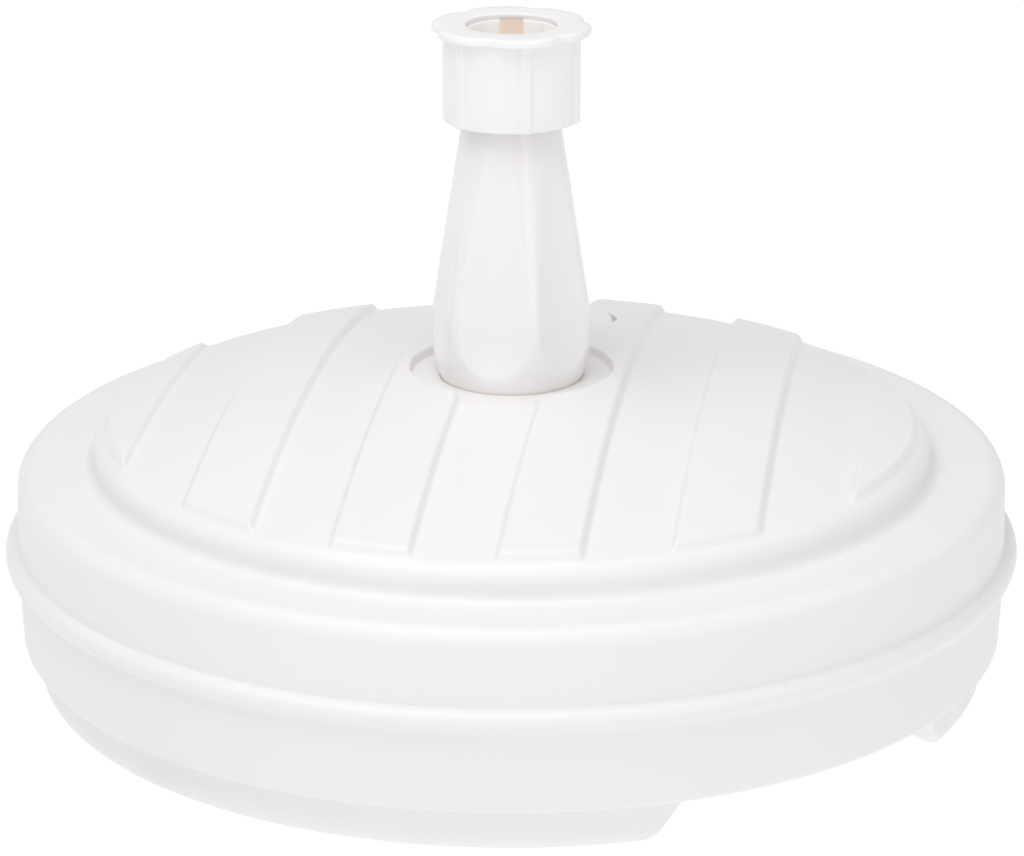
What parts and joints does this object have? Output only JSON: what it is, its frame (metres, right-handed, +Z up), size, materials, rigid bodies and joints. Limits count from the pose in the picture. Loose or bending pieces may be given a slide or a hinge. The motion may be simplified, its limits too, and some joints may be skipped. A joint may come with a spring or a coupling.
{
  "type": "parasol base",
  "caption": "Round fillable plastic parasol base: low domed tank with raised slats, fluted stem in a well, screw-down clamping collar, filler bung and finger gaps underneath.",
  "frame": {"origin": "on the stem's axis at floor level, under the tank", "axes": "+Z up along the stem and the pole; -Y towards the front, where the slats run from front to back"},
  "size_m": [0.5, 0.5, 0.326],
  "materials": {
    "tank": "satin white, fine moulded grain",
    "cap": "satin white",
    "seal": "matt black",
    "stem": "glossy warm white",
    "collet": "satin cream",
    "collar": "glossy cool white"
  },
  "bodies": {
    "base": {"tank": "tank"},
    "seal": {"filler_seal": "seal"},
    "cap": {"filler_cap": "cap"},
    "stem": {"stem": "stem"},
    "collet": {"clamp_collet": "collet"},
    "collar": {"clamp_collar": "collar"}
  },
  "joints": [
    {"name": "stem_lift", "type": "slide", "parent": "base", "child": "stem", "axis": [0, 0, 1], "range_m": [0, 0.09]},
    {"name": "collet_slide", "type": "slide", "parent": "stem", "child": "collet", "axis": [0, 0, 1], "range_m": [0, 0.01001]},
    {"name": "collar_turn", "type": "hinge", "parent": "collet", "child": "collar", "pos_m": [0, 0, 0.3], "axis": [0, 0, 1], "range_deg": [0, 720]},
    {"name": "seal_lift", "type": "slide", "parent": "base", "child": "seal", "axis": [0, 0, 1], "range_m": [0, 0.01201]},
    {"name": "cap_turn", "type": "hinge", "parent": "seal", "child": "cap", "pos_m": [0.0257, 0.101, 0.145], "axis": [0, 0, 1], "range_deg": [0, 1080]}
  ],
  "couplings": [
    {"joint": "collet_slide", "follows": "collar_turn", "m_per_rad": 0.00079577},
    {"joint": "seal_lift", "follows": "cap_turn", "m_per_rad": 0.00063662}
  ]
}
